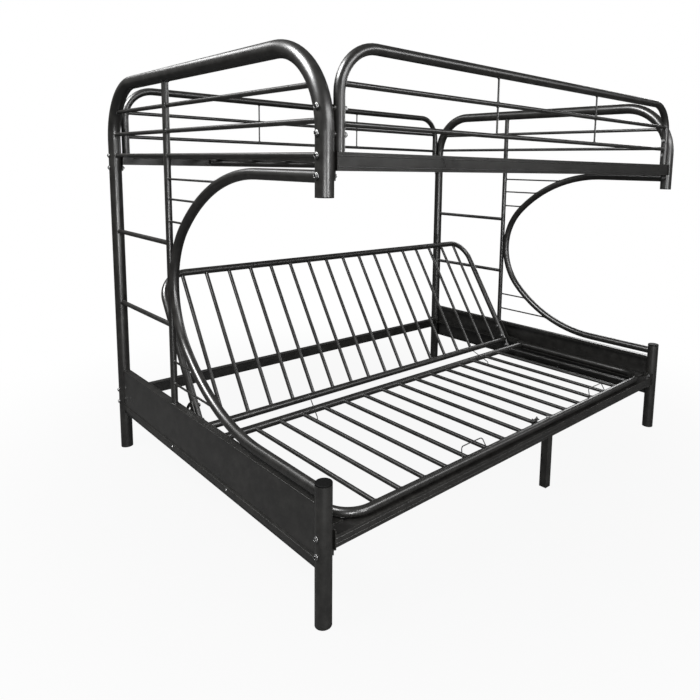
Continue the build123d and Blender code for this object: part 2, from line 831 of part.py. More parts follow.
with BuildPart() as seat_clip_nuts:
    with BuildSketch(Plane.XY.offset(clip_seat + clip_plate)):
        with Locations(*clip_holes):
            RegularPolygon(clip_nut / 2, side_count=6, major_radius=False)
            Circle(clip_rod / 2 + bolt_fit, mode=Mode.SUBTRACT)
    extrude(amount=clip_nut_height)
save(seat_clip_nuts, "seat_clip_nuts")

# Wire loops that stop the mattress at the seat's front
loop_base = seat_rest + seat_diameter
loop_top = loop_base + loop_height
loop_centres = [share * end_x for share in loop_shares]
loops = [
    solid_along(
        FilletPolyline(
            (centre - loop_width / 2, seat_front_y, seat_z),
            (centre - loop_width / 2 + loop_taper, seat_front_y + loop_lean, loop_top),
            (centre + loop_width / 2 - loop_taper, seat_front_y + loop_lean, loop_top),
            (centre + loop_width / 2, seat_front_y, seat_z),
            radius=loop_bend,
        ),
        wire_diameter,
    )
    for centre in loop_centres
]
with BuildPart() as mattress_loops:
    add(loops)
    add(seat_envelope, mode=Mode.SUBTRACT)
save(mattress_loops, "mattress_loops")

# Wire arms that lie over the seat's rear tube and end just short of the backrest
arm_z = loop_base + wire_diameter / 2
arm_back_y = seat_rear_y + arm_behind
arm_front_y = seat_rear_y - arm_ahead
arm_runs = [(share * slat_pitch, (share - 1) * slat_pitch) for share in arm_pitch_shares]
arms = [
    solid_along(
        FilletPolyline(
            (from_x, arm_back_y, arm_z + arm_hook),
            (from_x, arm_back_y - arm_hook, arm_z),
            (to_x, arm_front_y, arm_z),
            (to_x, arm_front_y, seat_z),
            radius=arm_bend,
        ),
        wire_diameter,
    )
    for from_x, to_x in arm_runs
]
arm_slat_envelopes = [
    rod((to_x, seat_front_y, seat_z), (to_x, seat_rear_y, seat_z), slat_diameter)
    for from_x, to_x in arm_runs
]
with BuildPart() as wire_arms:
    add(arms)
    add([seat_rear_envelope, *arm_slat_envelopes], mode=Mode.SUBTRACT)
save(wire_arms, "wire_arms")

# Backrest, drawn flat in a plane that leans back through the pivots
back_plane = Plane(
    origin=(0, pivot_y, pivot_z),
    x_dir=(1, 0, 0),
    z_dir=(0, -cos(radians(backrest_tilt)), sin(radians(backrest_tilt))),
)


def on_back(x, s):
    """Point of the backrest plane, s up from the pivot."""
    return back_plane.from_local_coords(Vector(x, s, 0))


backrest_route = FilletPolyline(
    on_back(-backrest_x, -backrest_tail),
    on_back(-backrest_x, backrest_reach),
    on_back(backrest_x, backrest_reach),
    on_back(backrest_x, -backrest_tail),
    radius=backrest_bend,
)
backrest_envelope = solid_along(backrest_route, seat_diameter)
backrest_tube = tube_along(backrest_route, seat_diameter, seat_wall)
pivot_points = [on_back(-backrest_x, s) for s in (0, stud_distance, -stud_distance)]
pivot_cutters = [
    rod((-backrest_x - seat_diameter, point.Y, point.Z), (-backrest_x + seat_diameter, point.Y, point.Z),
        pivot_diameter + 2 * bolt_fit)
    for point in pivot_points
]
with BuildPart() as backrest_frame_tube:
    add(backrest_tube)
    add(both_ends(pivot_cutters), mode=Mode.SUBTRACT)
save(backrest_frame_tube, "backrest_frame_tube")

rail_from = on_back(-backrest_x, -backrest_rail_drop)
rail_to = on_back(backrest_x, -backrest_rail_drop)
lower_tube = tube(rail_from, rail_to, seat_diameter, seat_wall)
lower_envelope = rod(rail_from, rail_to, seat_diameter)
with BuildPart() as backrest_lower_tube:
    add(lower_tube)
    add(backrest_envelope, mode=Mode.SUBTRACT)
save(backrest_lower_tube, "backrest_lower_tube")

back_slat_xs = [(i - (backrest_slat_count - 1) / 2) * slat_pitch for i in range(backrest_slat_count)]
back_slat_tubes = [
    tube(on_back(x, -backrest_rail_drop), on_back(x, backrest_reach), slat_diameter, slat_bore_wall)
    for x in back_slat_xs
]
with BuildPart() as backrest_slats:
    add(back_slat_tubes)
    add([backrest_envelope, lower_envelope], mode=Mode.SUBTRACT)
save(backrest_slats, "backrest_slats")

tail_plug_lip = on_back(-backrest_x, -backrest_tail)
left_tail_plug = plug(tail_plug_lip, back_plane.y_dir, seat_diameter, seat_wall, tail_plug_depth)
with BuildPart() as backrest_end_plugs:
    add(both_ends([left_tail_plug]))
save(backrest_end_plugs, "backrest_end_plugs")

# Hinge bracket: a cheek with a pivot hole and a curved slot, and a foot bolted to the ledge.
# The cheek's front edge runs along the raised backrest, and its lower edge is on the ledge.
slot_width = pivot_diameter + 2 * slot_clearance
hinge_foot_front = pivot_y - hinge_foot_ahead
hinge_foot_back = pivot_y + hinge_foot_behind
cheek_radius = stud_distance + slot_width / 2 + hinge_rim
fold_angle = 90 - backrest_tilt
lean = Vector(sin(radians(backrest_tilt)), cos(radians(backrest_tilt)))
ahead = Vector(-lean.Y, lean.X)
cheek_edge = Vector(pivot_y, pivot_z) + ahead * hinge_front
cheek_span = 2 * cheek_radius
edge_top = cheek_edge + lean * cheek_span
edge_low = cheek_edge - lean * cheek_span
edge_low_ahead = edge_low + ahead * cheek_span
edge_top_ahead = edge_top + ahead * cheek_span
with BuildPart() as left_hinge_bracket:
    with BuildSketch(Plane.YZ.offset(-hinge_x - hinge_sheet)):
        with Locations((pivot_y, pivot_z)):
            Circle(cheek_radius)
        Polygon(
            (edge_top.X, edge_top.Y),
            (edge_low.X, edge_low.Y),
            (edge_low_ahead.X, edge_low_ahead.Y),
            (edge_top_ahead.X, edge_top_ahead.Y),
            align=None,
            mode=Mode.SUBTRACT,
        )
        with Locations((pivot_y, seat_rest)):
            Rectangle(cheek_span, cheek_span, align=(Align.CENTER, Align.MAX), mode=Mode.SUBTRACT)
        Polygon(
            (hinge_foot_front, seat_rest),
            (hinge_foot_back, seat_rest),
            (pivot_y, seat_rest + hinge_rib_back),
            (hinge_foot_front, seat_rest + hinge_rib_front),
            align=None,
        )
        with Locations((pivot_y, pivot_z)):
            Circle(pivot_diameter / 2 + pivot_clearance, mode=Mode.SUBTRACT)
        with BuildLine():
            stop_slot = CenterArc((pivot_y, pivot_z), stud_distance, 0, fold_angle)
        SlotArc(stop_slot, slot_width, mode=Mode.SUBTRACT)
    extrude(amount=hinge_sheet)
    with BuildSketch(Plane.XY.offset(seat_rest)):
        with Locations((-hinge_x - hinge_sheet, hinge_foot_front)):
            Rectangle(hinge_foot_width, hinge_foot_back - hinge_foot_front, align=(Align.MAX, Align.MIN))
    extrude(amount=hinge_sheet)
    add(hinge_bolt_cutters, mode=Mode.SUBTRACT)
save(left_hinge_bracket, "left_hinge_bracket")
save(mirrored(left_hinge_bracket), "right_hinge_bracket")

# Pivot bolts, stop studs in the slots, and tail studs that end at the tubes' outer sides,
# all with their heads on the inner sides of the backrest tubes
pivot_reach = seat_diameter + hinge_side_gap + hinge_sheet
pivot_starts = [(-backrest_x + seat_diameter / 2, point.Y, point.Z) for point in pivot_points]
pivot_nut_x = -hinge_x - hinge_sheet - pivot_nut_gap
left_pivot_bolt = round_bolt(
    pivot_starts[0], (-1, 0, 0), pivot_diameter,
    pivot_reach + pivot_nut_gap + pivot_nut_height + pivot_end, pivot_head, pivot_head_height)
with BuildPart() as pivot_bolts:
    add(both_ends([left_pivot_bolt]))
save(pivot_bolts, "pivot_bolts")

left_pivot_nut = hex_nut(
    (pivot_nut_x, pivot_y, pivot_z), (-1, 0, 0), pivot_nut, pivot_nut_height, pivot_diameter + 2 * bolt_fit)
with BuildPart() as pivot_nuts:
    add(both_ends([left_pivot_nut]))
save(pivot_nuts, "pivot_nuts")

stud_reaches = (pivot_reach - stud_end_gap, seat_diameter)
left_studs = [
    round_bolt(start, (-1, 0, 0), pivot_diameter, reach, pivot_head, pivot_head_height)
    for start, reach in zip(pivot_starts[1:], stud_reaches)
]
with BuildPart() as stop_studs:
    add(both_ends(left_studs))
save(stop_studs, "stop_studs")

# Hexagon bolts through the legs, and their nuts
outer_x = -end_x - leg_diameter / 2
leg_bolt_places = [
    (y, z) for y in (-leg_y, leg_y) for z in (*rail_bolt_heights, *lower_bolt_heights)
]
leg_grip = leg_diameter + end_plate
left_leg_bolts = [
    hex_bolt((outer_x, y, z), (1, 0, 0), leg_grip + bolt_tail) for y, z in leg_bolt_places
]
with BuildPart() as leg_bolts:
    add(both_ends(left_leg_bolts))
save(leg_bolts, "leg_bolts")

guard_grip = leg_diameter + guard_gap + guard_diameter
left_guard_bolts = [
    hex_bolt((outer_x, -guard_y, z), (1, 0, 0), guard_grip + bolt_tail) for z in guard_bolt_heights
]
with BuildPart() as guard_bolts:
    add(both_ends(left_guard_bolts))
save(guard_bolts, "guard_bolts")

spacer_wall = (spacer_tube - hole_diameter) / 2
left_guard_spacers = [
    tube((-joint_x, -guard_y, z), (-joint_x + guard_gap, -guard_y, z), spacer_tube, spacer_wall)
    for z in guard_bolt_heights
]
with BuildPart() as guard_spacers:
    add(both_ends(left_guard_spacers))
save(guard_spacers, "guard_spacers")

# Hexagon bolts of the hinge feet, their heads on top
hinge_foot_top = seat_rest + hinge_sheet
left_hinge_bolts = [
    hex_bolt((hinge_bolt_x, y, hinge_foot_top), (0, 0, -1), hinge_sheet + ledge_sheet + bolt_tail)
    for y in hinge_bolt_ys
]
with BuildPart() as hinge_bolts:
    add(both_ends(left_hinge_bolts))
save(hinge_bolts, "hinge_bolts")

left_nuts = [
    *[hex_nut((outer_x + leg_grip, y, z), (1, 0, 0), nut_width, nut_height, hole_diameter)
      for y, z in leg_bolt_places],
    *[hex_nut((outer_x + guard_grip, -guard_y, z), (1, 0, 0), nut_width, nut_height, hole_diameter)
      for z in guard_bolt_heights],
    *[hex_nut((hinge_bolt_x, y, seat_rest - ledge_sheet), (0, 0, -1), nut_width, nut_height, hole_diameter)
      for y in hinge_bolt_ys],
]
centre_nut_point = (centre_leg_x, seat_front_y, leg_top_z)
centre_nut = hex_nut(centre_nut_point, (0, 0, -1), nut_width, nut_height, hole_diameter)
with BuildPart() as hex_nuts:
    add([*both_ends(left_nuts), centre_nut])
save(hex_nuts, "hex_nuts")

# Screws through the outside of the end panels into the ledges
left_screws = [
    round_bolt((-panel_x, y, screw_height), (1, 0, 0), screw_diameter, screw_reach, screw_head,
               screw_head_height)
    for y in (-screw_spread / 2, screw_spread / 2)
]
with BuildPart() as panel_screws:
    add(both_ends(left_screws))
save(panel_screws, "panel_screws")
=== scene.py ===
import bpy
import json
import math
import numpy as np
from mathutils import Matrix, Vector


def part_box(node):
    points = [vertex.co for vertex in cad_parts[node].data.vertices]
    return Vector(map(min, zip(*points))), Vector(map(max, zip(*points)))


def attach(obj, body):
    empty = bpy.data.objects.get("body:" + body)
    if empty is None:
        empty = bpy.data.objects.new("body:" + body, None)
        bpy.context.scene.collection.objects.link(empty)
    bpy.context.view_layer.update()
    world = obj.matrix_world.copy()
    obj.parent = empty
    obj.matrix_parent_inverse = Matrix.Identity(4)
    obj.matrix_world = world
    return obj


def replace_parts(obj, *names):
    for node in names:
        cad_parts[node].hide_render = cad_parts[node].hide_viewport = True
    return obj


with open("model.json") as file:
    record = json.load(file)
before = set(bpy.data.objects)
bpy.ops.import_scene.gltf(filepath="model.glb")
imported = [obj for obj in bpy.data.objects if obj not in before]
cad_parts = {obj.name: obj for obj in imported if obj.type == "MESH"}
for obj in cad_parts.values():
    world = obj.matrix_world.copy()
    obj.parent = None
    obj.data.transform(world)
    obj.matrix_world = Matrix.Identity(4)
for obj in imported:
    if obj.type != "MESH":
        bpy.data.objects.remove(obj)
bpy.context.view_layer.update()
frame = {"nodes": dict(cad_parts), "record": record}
nodes = frame["nodes"]

# Metres, as in the frame: X along the bed, front at -Y, Z up.
INCH = 0.0254
PAINT_SLOT, ZINC_SLOT, PLASTIC_SLOT = "black_paint", "zinc_steel", "black_plastic"


# Materials, in linear greys
# Noises are (scale per metre, detail, roughness), bumps (strength, distance in metres),
# and stops (position, grey).

NEUTRAL = (1.0, 1.0, 1.0)
WARM = (1.0, 0.97, 0.90)

COAT_SPECKLE_NOISE = (1400.0, 2.0, 0.7)
COAT_SPECKLE_STOPS = ((0.34, 0.0030), (0.60, 0.0060), (0.78, 0.0240))
COAT_HAZE_NOISE = (24.0, 8.0, 0.75)
COAT_HAZE_STOPS = ((0.44, 0.0), (0.70, 1.0))
COAT_HAZE_TONE = 0.0125
COAT_WORN_RADIUS = 0.0012
COAT_WORN_STOPS = ((0.02, 0.0), (0.20, 0.50))
COAT_WORN_TONE = 0.070
COAT_ROUGHNESS_NOISE = (14.0, 5.0, 0.65)
COAT_ROUGHNESS_STOPS = ((0.3, 0.27), (0.7, 0.37))
COAT_PEEL_NOISE = (240.0, 2.0, 0.5)
COAT_PEEL_BUMP = (0.02, 0.0005)
COAT_SPECULAR = 0.55

ZINC_GRAIN_NOISE = (500.0, 3.0, 0.6)
ZINC_TONE_STOPS = ((0.3, 0.16), (0.7, 0.34))
ZINC_ROUGHNESS_STOPS = ((0.3, 0.24), (0.7, 0.40))

PLASTIC_GRAIN_NOISE = (1200.0, 2.0, 0.6)
PLASTIC_TONE_STOPS = ((0.3, 0.0012), (0.7, 0.0032))
PLASTIC_GRAIN_BUMP = (0.15, 0.0003)
PLASTIC_ROUGHNESS = 0.62
PLASTIC_SPECULAR = 0.06


def new_material(name):
    """A material with nodes: (material, node tree, shader)."""
    material = bpy.data.materials.new(name)
    material.use_nodes = True
    tree = material.node_tree
    return material, tree, tree.nodes["Principled BSDF"]


def grey(value, tint=NEUTRAL):
    return (value * tint[0], value * tint[1], value * tint[2], 1.0)


def noise(tree, scale, detail, roughness):
    """Noise value in object coordinates."""
    coordinates = tree.nodes.new("ShaderNodeTexCoord")
    texture = tree.nodes.new("ShaderNodeTexNoise")
    texture.inputs["Scale"].default_value = scale
    texture.inputs["Detail"].default_value = detail
    texture.inputs["Roughness"].default_value = roughness
    tree.links.new(coordinates.outputs["Object"], texture.inputs["Vector"])
    return texture.outputs["Fac"]


def grey_ramp(tree, value, stops, tint=NEUTRAL):
    """Colour that follows a value through stops of (position, grey)."""
    node = tree.nodes.new("ShaderNodeValToRGB")
    elements = node.color_ramp.elements
    shades = [(position, grey(tone, tint)) for position, tone in stops]
    elements[0].position, elements[0].color = shades[0]
    elements[1].position, elements[1].color = shades[-1]
    for position, colour in shades[1:-1]:
        elements.new(position).color = colour
    tree.links.new(value, node.inputs["Fac"])
    return node.outputs["Color"]


def towards(tree, colour, tone, amount):
    """Colour that turns to a warm grey tone by an amount."""
    mix = tree.nodes.new("ShaderNodeMixRGB")
    mix.inputs["Color2"].default_value = grey(tone, WARM)
    tree.links.new(amount, mix.inputs["Fac"])
    tree.links.new(colour, mix.inputs["Color1"])
    return mix.outputs["Color"]


def add_bump(tree, shader, height, strength, distance):
    bump = tree.nodes.new("ShaderNodeBump")
    bump.inputs["Strength"].default_value = strength
    bump.inputs["Distance"].default_value = distance
    tree.links.new(height, bump.inputs["Height"])
    tree.links.new(bump.outputs["Normal"], shader.inputs["Normal"])


def edge_mask(tree, radius):
    """How far the normal turns within a radius: 0 on plain faces, more at a sharp edge."""
    rounded = tree.nodes.new("ShaderNodeBevel")
    rounded.samples = 4
    rounded.inputs["Radius"].default_value = radius
    geometry = tree.nodes.new("ShaderNodeNewGeometry")
    dot = tree.nodes.new("ShaderNodeVectorMath")
    dot.operation = "DOT_PRODUCT"
    tree.links.new(rounded.outputs["Normal"], dot.inputs[0])
    tree.links.new(geometry.outputs["Normal"], dot.inputs[1])
    turned = tree.nodes.new("ShaderNodeMath")
    turned.operation = "SUBTRACT"
    turned.inputs[0].default_value = 1.0
    tree.links.new(dot.outputs["Value"], turned.inputs[1])
    return turned.outputs["Value"]


def powder_coat():
    """Semi-gloss black powder coat: speckle, soft haze, rubbed edges and fine orange peel."""
    material, tree, shader = new_material("powder_coat")
    colour = grey_ramp(tree, noise(tree, *COAT_SPECKLE_NOISE), COAT_SPECKLE_STOPS, WARM)
    haze = grey_ramp(tree, noise(tree, *COAT_HAZE_NOISE), COAT_HAZE_STOPS)
    colour = towards(tree, colour, COAT_HAZE_TONE, haze)
    worn = grey_ramp(tree, edge_mask(tree, COAT_WORN_RADIUS), COAT_WORN_STOPS)
    colour = towards(tree, colour, COAT_WORN_TONE, worn)
    tree.links.new(colour, shader.inputs["Base Color"])
    rough = grey_ramp(tree, noise(tree, *COAT_ROUGHNESS_NOISE), COAT_ROUGHNESS_STOPS)
    tree.links.new(rough, shader.inputs["Roughness"])
    add_bump(tree, shader, noise(tree, *COAT_PEEL_NOISE), *COAT_PEEL_BUMP)
    shader.inputs["Metallic"].default_value = 0.0
    shader.inputs["Specular IOR Level"].default_value = COAT_SPECULAR
    return material


def zinc_plate():
    """Dark zinc-plated steel with a fine grain."""
    material, tree, shader = new_material("zinc_plate")
    grain = noise(tree, *ZINC_GRAIN_NOISE)
    tree.links.new(grey_ramp(tree, grain, ZINC_TONE_STOPS), shader.inputs["Base Color"])
    tree.links.new(grey_ramp(tree, grain, ZINC_ROUGHNESS_STOPS), shader.inputs["Roughness"])
    shader.inputs["Metallic"].default_value = 1.0
    return material


def moulded_plastic():
    """Black moulded plastic with a fine matt grain."""
    material, tree, shader = new_material("moulded_plastic")
    grain = noise(tree, *PLASTIC_GRAIN_NOISE)
    tree.links.new(grey_ramp(tree, grain, PLASTIC_TONE_STOPS), shader.inputs["Base Color"])
    add_bump(tree, shader, grain, *PLASTIC_GRAIN_BUMP)
    shader.inputs["Roughness"].default_value = PLASTIC_ROUGHNESS
    shader.inputs["Specular IOR Level"].default_value = PLASTIC_SPECULAR
    return material


FINISH = {
    PAINT_SLOT: powder_coat(),
    ZINC_SLOT: zinc_plate(),
    PLASTIC_SLOT: moulded_plastic(),
}

slots = {entry["node"]: entry["material_slot"] for entry in frame["record"]["subparts"]}
for name, node in nodes.items():
    node.data.materials.clear()
    node.data.materials.append(FINISH[slots[name]])


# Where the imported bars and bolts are

BARS_WITH_OFFCUTS = ("left_end_bars", "right_end_bars")
SHORTEST_BAR = 0.020
MERGE_DECIMALS = 5


def islands(name):
    """A node's separate solids, without offcuts, each as (vertex numbers, array of its points)."""
    mesh = nodes[name].data
    points = np.array([vertex.co[:] for vertex in mesh.vertices])
    spots = {}
    at = [spots.setdefault(tuple(spot), len(spots)) for spot in np.round(points, MERGE_DECIMALS)]
    parent = list(range(len(spots)))

    def root(spot):
        while parent[spot] != spot:
            parent[spot] = parent[parent[spot]]
            spot = parent[spot]
        return spot

    for polygon in mesh.polygons:
        first = root(at[polygon.vertices[0]])
        for vertex in polygon.vertices[1:]:
            parent[root(at[vertex])] = first
    groups = {}
    for vertex, spot in enumerate(at):
        groups.setdefault(root(spot), []).append(vertex)
    solids = [(group, points[group]) for group in groups.values()]
    if name in BARS_WITH_OFFCUTS:
        solids = [(group, spots) for group, spots in solids if np.ptp(spots, axis=0).max() > SHORTEST_BAR]
    return solids


def bar_ends(points):
    """A straight bar's two end points, its direction and its radius."""
    middle = points.mean(axis=0)
    axes = np.linalg.svd(points - middle, full_matrices=False)[2]
    along = (points - middle) @ axes.T
    low, high = along.min(axis=0), along.max(axis=0)
    centre = middle + axes[1] * (low[1] + high[1]) / 2 + axes[2] * (low[2] + high[2]) / 2
    return centre + axes[0] * low[0], centre + axes[0] * high[0], axes[0], (high[1] - low[1]) / 2


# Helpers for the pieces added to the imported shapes

RING_SIDES = 8
RING_STEPS = 24
FLANGE_STEPS = 32
# Ripples round a weld bead, and how far their phase turns per metre along X, Y and Z
RIPPLES = 7
RIPPLE_TURN = (9, 0, 40)
STRIP_MARGIN = 0.004
HEXAGON_SIDES = 6
# Where the top bevel starts, and its width on top, as shares of the height and the width
HEXAGON_SHOULDER = 0.6
HEXAGON_TAPER = 0.86


def new_piece(name, verts, faces, slot, body="bed_frame", smooth=True):
    """Mesh object that moves with a body."""
    mesh = bpy.data.meshes.new(name)
    mesh.from_pydata(verts, [], faces)
    mesh.update()
    for polygon in mesh.polygons:
        polygon.use_smooth = smooth
    piece = bpy.data.objects.new(name, mesh)
    bpy.context.scene.collection.objects.link(piece)
    mesh.materials.append(FINISH[slot])
    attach(piece, body)
    return piece


def outward_of(low):
    """-1 for a piece on the negative side of the bed, 1 on the other."""
    return -1.0 if low < 0 else 1.0


def across(axis):
    """Two directions at right angles to an axis."""
    side = axis.orthogonal().normalized()
    return side, axis.cross(side)


def add_ring(verts, faces, centre, axis, radius, thick, ripple=0.0, steps=RING_STEPS):
    """Closed ring round an axis, its section rippled like a weld bead."""
    axis = Vector(axis).normalized()
    side, up = across(axis)
    centre = Vector(centre)
    phase = centre.dot(Vector(RIPPLE_TURN))
    first = len(verts)
    for step in range(steps):
        angle = math.tau * step / steps
        out = side * math.cos(angle) + up * math.sin(angle)
        bulge = thick * (1 + ripple * math.sin(RIPPLES * angle + phase))
        for turn in range(RING_SIDES):
            beta = math.tau * turn / RING_SIDES
            spot = centre + out * (radius + bulge * math.cos(beta)) + axis * bulge * math.sin(beta)
            verts.append(spot[:])
    for step in range(steps):
        here = first + step * RING_SIDES
        there = first + (step + 1) % steps * RING_SIDES
        for turn in range(RING_SIDES):
            after = (turn + 1) % RING_SIDES
            faces.append((here + turn, there + turn, there + after, here + after))


def add_hexagon(verts, faces, centre, axis, width, height):
    """Six-sided pad standing on a point, with its bevelled top."""
    side, up = across(axis)
    first = len(verts)
    levels = ((0.0, 1.0), (height * HEXAGON_SHOULDER, 1.0), (height, HEXAGON_TAPER))
    for rise, grow in levels:
        for step in range(HEXAGON_SIDES):
            angle = math.tau * step / HEXAGON_SIDES
            out = side * math.cos(angle) + up * math.sin(angle)
            verts.append((centre + out * width / 2 * grow + axis * rise)[:])
    top = first
    for _ in levels[1:]:
        here, top = top, top + HEXAGON_SIDES
        for step in range(HEXAGON_SIDES):
            after = (step + 1) % HEXAGON_SIDES
            faces.append((here + step, here + after, top + after, top + step))
    faces.append(tuple(top + step for step in range(HEXAGON_SIDES)))
    faces.append(tuple(first + HEXAGON_SIDES - 1 - step for step in range(HEXAGON_SIDES)))


def add_strip(verts, faces, profile, start, end, margin=STRIP_MARGIN):
    """A closed profile of offsets swept straight from start to end, capped, with a ring near each end."""
    start, end = Vector(start), Vector(end)
    turn = sum((a.cross(b) for a, b in zip(profile, profile[1:] + profile[:1])), Vector())
    if turn.dot(end - start) < 0:
        profile = profile[::-1]
    near = (end - start).normalized() * margin
    places = (start, start + near, end - near, end) if margin else (start, end)
    first = len(verts)
    count = len(profile)
    for place in places:
        for offset in profile:
            verts.append((place + offset)[:])
    for level in range(len(places) - 1):
        here = first + level * count
        for step in range(count):
            after = (step + 1) % count
            faces.append((here + step, here + after, here + count + after, here + count + step))
    last = first + (len(places) - 1) * count
    faces.append(tuple(first + count - 1 - step for step in range(count)))
    faces.append(tuple(last + step for step in range(count)))


def half_round(radius, out, side, steps=8):
    """Profile of a half-round bead standing out from a face."""
    points = []
    for step in range(steps + 1):
        angle = math.pi * step / steps
        points.append(Vector(out) * radius * math.sin(angle) + Vector(side) * radius * math.cos(angle))
    return points


# End bars without their offcuts

def whole_bars(node):
    """A node's bars without the thin offcuts outside the arch tube, shown in the node's place."""
    mesh = nodes[node].data
    numbers = {}
    for group, _ in islands(node):
        for vertex in group:
            numbers[vertex] = len(numbers)
    verts = [mesh.vertices[vertex].co[:] for vertex in numbers]
    faces = [tuple(numbers[vertex] for vertex in polygon.vertices)
             for polygon in mesh.polygons if polygon.vertices[0] in numbers]
    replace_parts(new_piece(node + "_whole", verts, faces, PAINT_SLOT), node)


# Pressed lines and rolled edges

PANEL_BEAD_RADIUS = 0.0020
PANEL_BEAD_DROP = 0.0015
PANEL_HEM = ((-0.0005, 0.0015), (0.0010, 0.0020), (0.0012, 0.0290), (-0.0005, 0.0310))
RAIL_BEAD_RADIUS = 0.0016
RAIL_LINE_DROPS = {
    "lower_front_rail": (0.010, 0.026),
    "upper_front_rail": (0.010, 0.040),
    "upper_back_rail": (0.010, 0.040),
}
LINE_END_GAP = 0.004


def panel_beads():
    """Rolled edges along the top of each end panel, and the hem along its foot."""
    verts, faces = [], []
    for end in ("left", "right"):
        low, high = (Vector(corner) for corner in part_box(end + "_end_panel"))
        sign = outward_of(low.x)
        outer, inner = (low.x, high.x) if sign < 0 else (high.x, low.x)
        from_y, to_y = low.y + LINE_END_GAP, high.y - LINE_END_GAP
        face_bead = half_round(PANEL_BEAD_RADIUS, (sign, 0, 0), (0, 0, 1))
        lip_bead = half_round(PANEL_BEAD_RADIUS, (0, 0, 1), (1, 0, 0))
        hem = [Vector((sign * out, 0, up)) for out, up in PANEL_HEM]
        lines = (
            (face_bead, outer, high.z - PANEL_BEAD_DROP),
            (lip_bead, inner, high.z),
            (hem, outer, low.z),
        )
        for profile, x, z in lines:
            add_strip(verts, faces, profile, (x, from_y, z), (x, to_y, z))
    new_piece("panel_beads", verts, faces, PAINT_SLOT)


def rail_beads():
    """Pressed lines along the lower front rail and the upper side rails."""
    verts, faces = [], []
    for node, drops in RAIL_LINE_DROPS.items():
        low, high = (Vector(corner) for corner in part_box(node))
        sign = outward_of(low.y)
        face_y = low.y if sign < 0 else high.y
        profile = half_round(RAIL_BEAD_RADIUS, (0, sign, 0), (0, 0, 1))
        from_x, to_x = low.x + LINE_END_GAP, high.x - LINE_END_GAP
        for drop in drops:
            z = high.z - drop
            add_strip(verts, faces, profile, (from_x, face_y, z), (to_x, face_y, z))
    new_piece("rail_beads", verts, faces, PAINT_SLOT)


# Tongues that close the corners between the seat ledges and the front rail

TONGUE_THICK = 0.0025
TONGUE_DROP = 0.0035
TONGUE_WIDE_INSET = 0.040
TONGUE_BEHIND = 0.025
TONGUE_AHEAD = 0.016
# From the ledge's inner edge towards the middle, and from its front end forwards
TONGUE_EDGE = ((-0.004, -TONGUE_BEHIND), (0.010, -0.009), (0.060, 0.003), (0.060, TONGUE_AHEAD))


def ledge_tongues():
    """Tongue at the front of each seat ledge, under the seat's front corner and the front rail."""
    verts, faces = [], []
    for end in ("left", "right"):
        low, high = (Vector(corner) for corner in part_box(end + "_seat_ledge"))
        sign = outward_of(low.x)
        wide, narrow = max(abs(low.x), abs(high.x)), min(abs(low.x), abs(high.x))
        outer = wide - TONGUE_WIDE_INSET
        corners = [
            (outer, low.y + TONGUE_BEHIND),
            *[(narrow - towards_middle, low.y - ahead) for towards_middle, ahead in TONGUE_EDGE],
            (outer, low.y - TONGUE_AHEAD),
        ]
        profile = [Vector((sign * x, y, 0)) for x, y in corners]
        top = high.z - TONGUE_DROP
        add_strip(verts, faces, profile, (0, 0, top), (0, 0, top - TONGUE_THICK), margin=0.0)
    new_piece("ledge_tongues", verts, faces, PAINT_SLOT, smooth=False)


# Weld beads and bolt heads

BEAD_RIPPLE = 0.28
# Inset from the bar's end, and thickness
FINE_BEAD = (0.0008, 0.0019)
BROAD_BEAD = (0.0010, 0.0026)
FLANGE_BACK = 0.0038
FLANGE_RADIUS = 0.0079
FLANGE_THICK = 0.0013
RIM_RADIUS = 0.0054
RIM_THICK = 0.0007
# Width and height of the black pad that paints the shade inside each bolt head's socket recess
SOCKET_SHADE_WIDTH = 0.0092
SOCKET_SHADE_HEIGHT = 0.0003


def weld_beads(name, bars, bead=FINE_BEAD, body="bed_frame"):
    """Beads round both ends of every bar in some nodes."""
    inset, thick = bead
    verts, faces = [], []
    for node in bars:
        for _, points in islands(node):
            start, end, axis, radius = bar_ends(points)
            for centre in (start + axis * inset, end - axis * inset):
                add_ring(verts, faces, centre, axis, radius, thick, BEAD_RIPPLE)
    new_piece(name, verts, faces, PAINT_SLOT, body)


def bolt_heads(sources):
    """Round flange under each outer bolt head, a rim on it, and a black pad in its middle as painted
    shade of the socket recess.
    """
    verts, faces = [], []
    socket_shade_verts, socket_shade_faces = [], []
    for node in sources:
        for _, points in islands(node):
            low, high = points.min(axis=0), points.max(axis=0)
            sign = outward_of(low[0])
            axis = Vector((sign, 0, 0))
            middle = (low + high) / 2
            centre = Vector((low[0] if sign < 0 else high[0], middle[1], middle[2]))
            add_ring(verts, faces, centre - axis * FLANGE_BACK, axis, FLANGE_RADIUS, FLANGE_THICK,
                     steps=FLANGE_STEPS)
            add_ring(verts, faces, centre, axis, RIM_RADIUS, RIM_THICK, steps=FLANGE_STEPS)
            # Painted shade: a black pad stands in for the shade inside the socket recess
            add_hexagon(socket_shade_verts, socket_shade_faces, centre, axis, SOCKET_SHADE_WIDTH, SOCKET_SHADE_HEIGHT)
    new_piece("bolt_flanges", verts, faces, ZINC_SLOT)
    new_piece("bolt_socket_shade", socket_shade_verts, socket_shade_faces, PLASTIC_SLOT)


for node in BARS_WITH_OFFCUTS:
    whole_bars(node)
panel_beads()
rail_beads()
ledge_tongues()
weld_beads("weld_beads_ends", ["ladder_rungs", "left_end_bars", "right_end_bars", "spacer_rods",
                               "left_upright", "right_upright"], BROAD_BEAD)
weld_beads("weld_beads_guards", ["guard_bars", "guard_spindles"])
weld_beads("weld_beads_seat", ["seat_slats", "seat_rear_tube"])
weld_beads("weld_beads_backrest", ["backrest_slats", "backrest_lower_tube"], body="backrest")
bolt_heads(["leg_bolts", "guard_bolts"])


# Camera, fitted to the photograph: pixels in a 700 px frame, inches and radians

FRAME_PX = 700.0
FOCAL_PX = 611.16
CENTRE_PX = (400.0, 250.0)
CAMERA_INCHES = (-78.79, -80.87, 51.44)
YAW, PITCH, ROLL = 0.7633, 0.1344, 0.0193
SENSOR_MM = 36.0


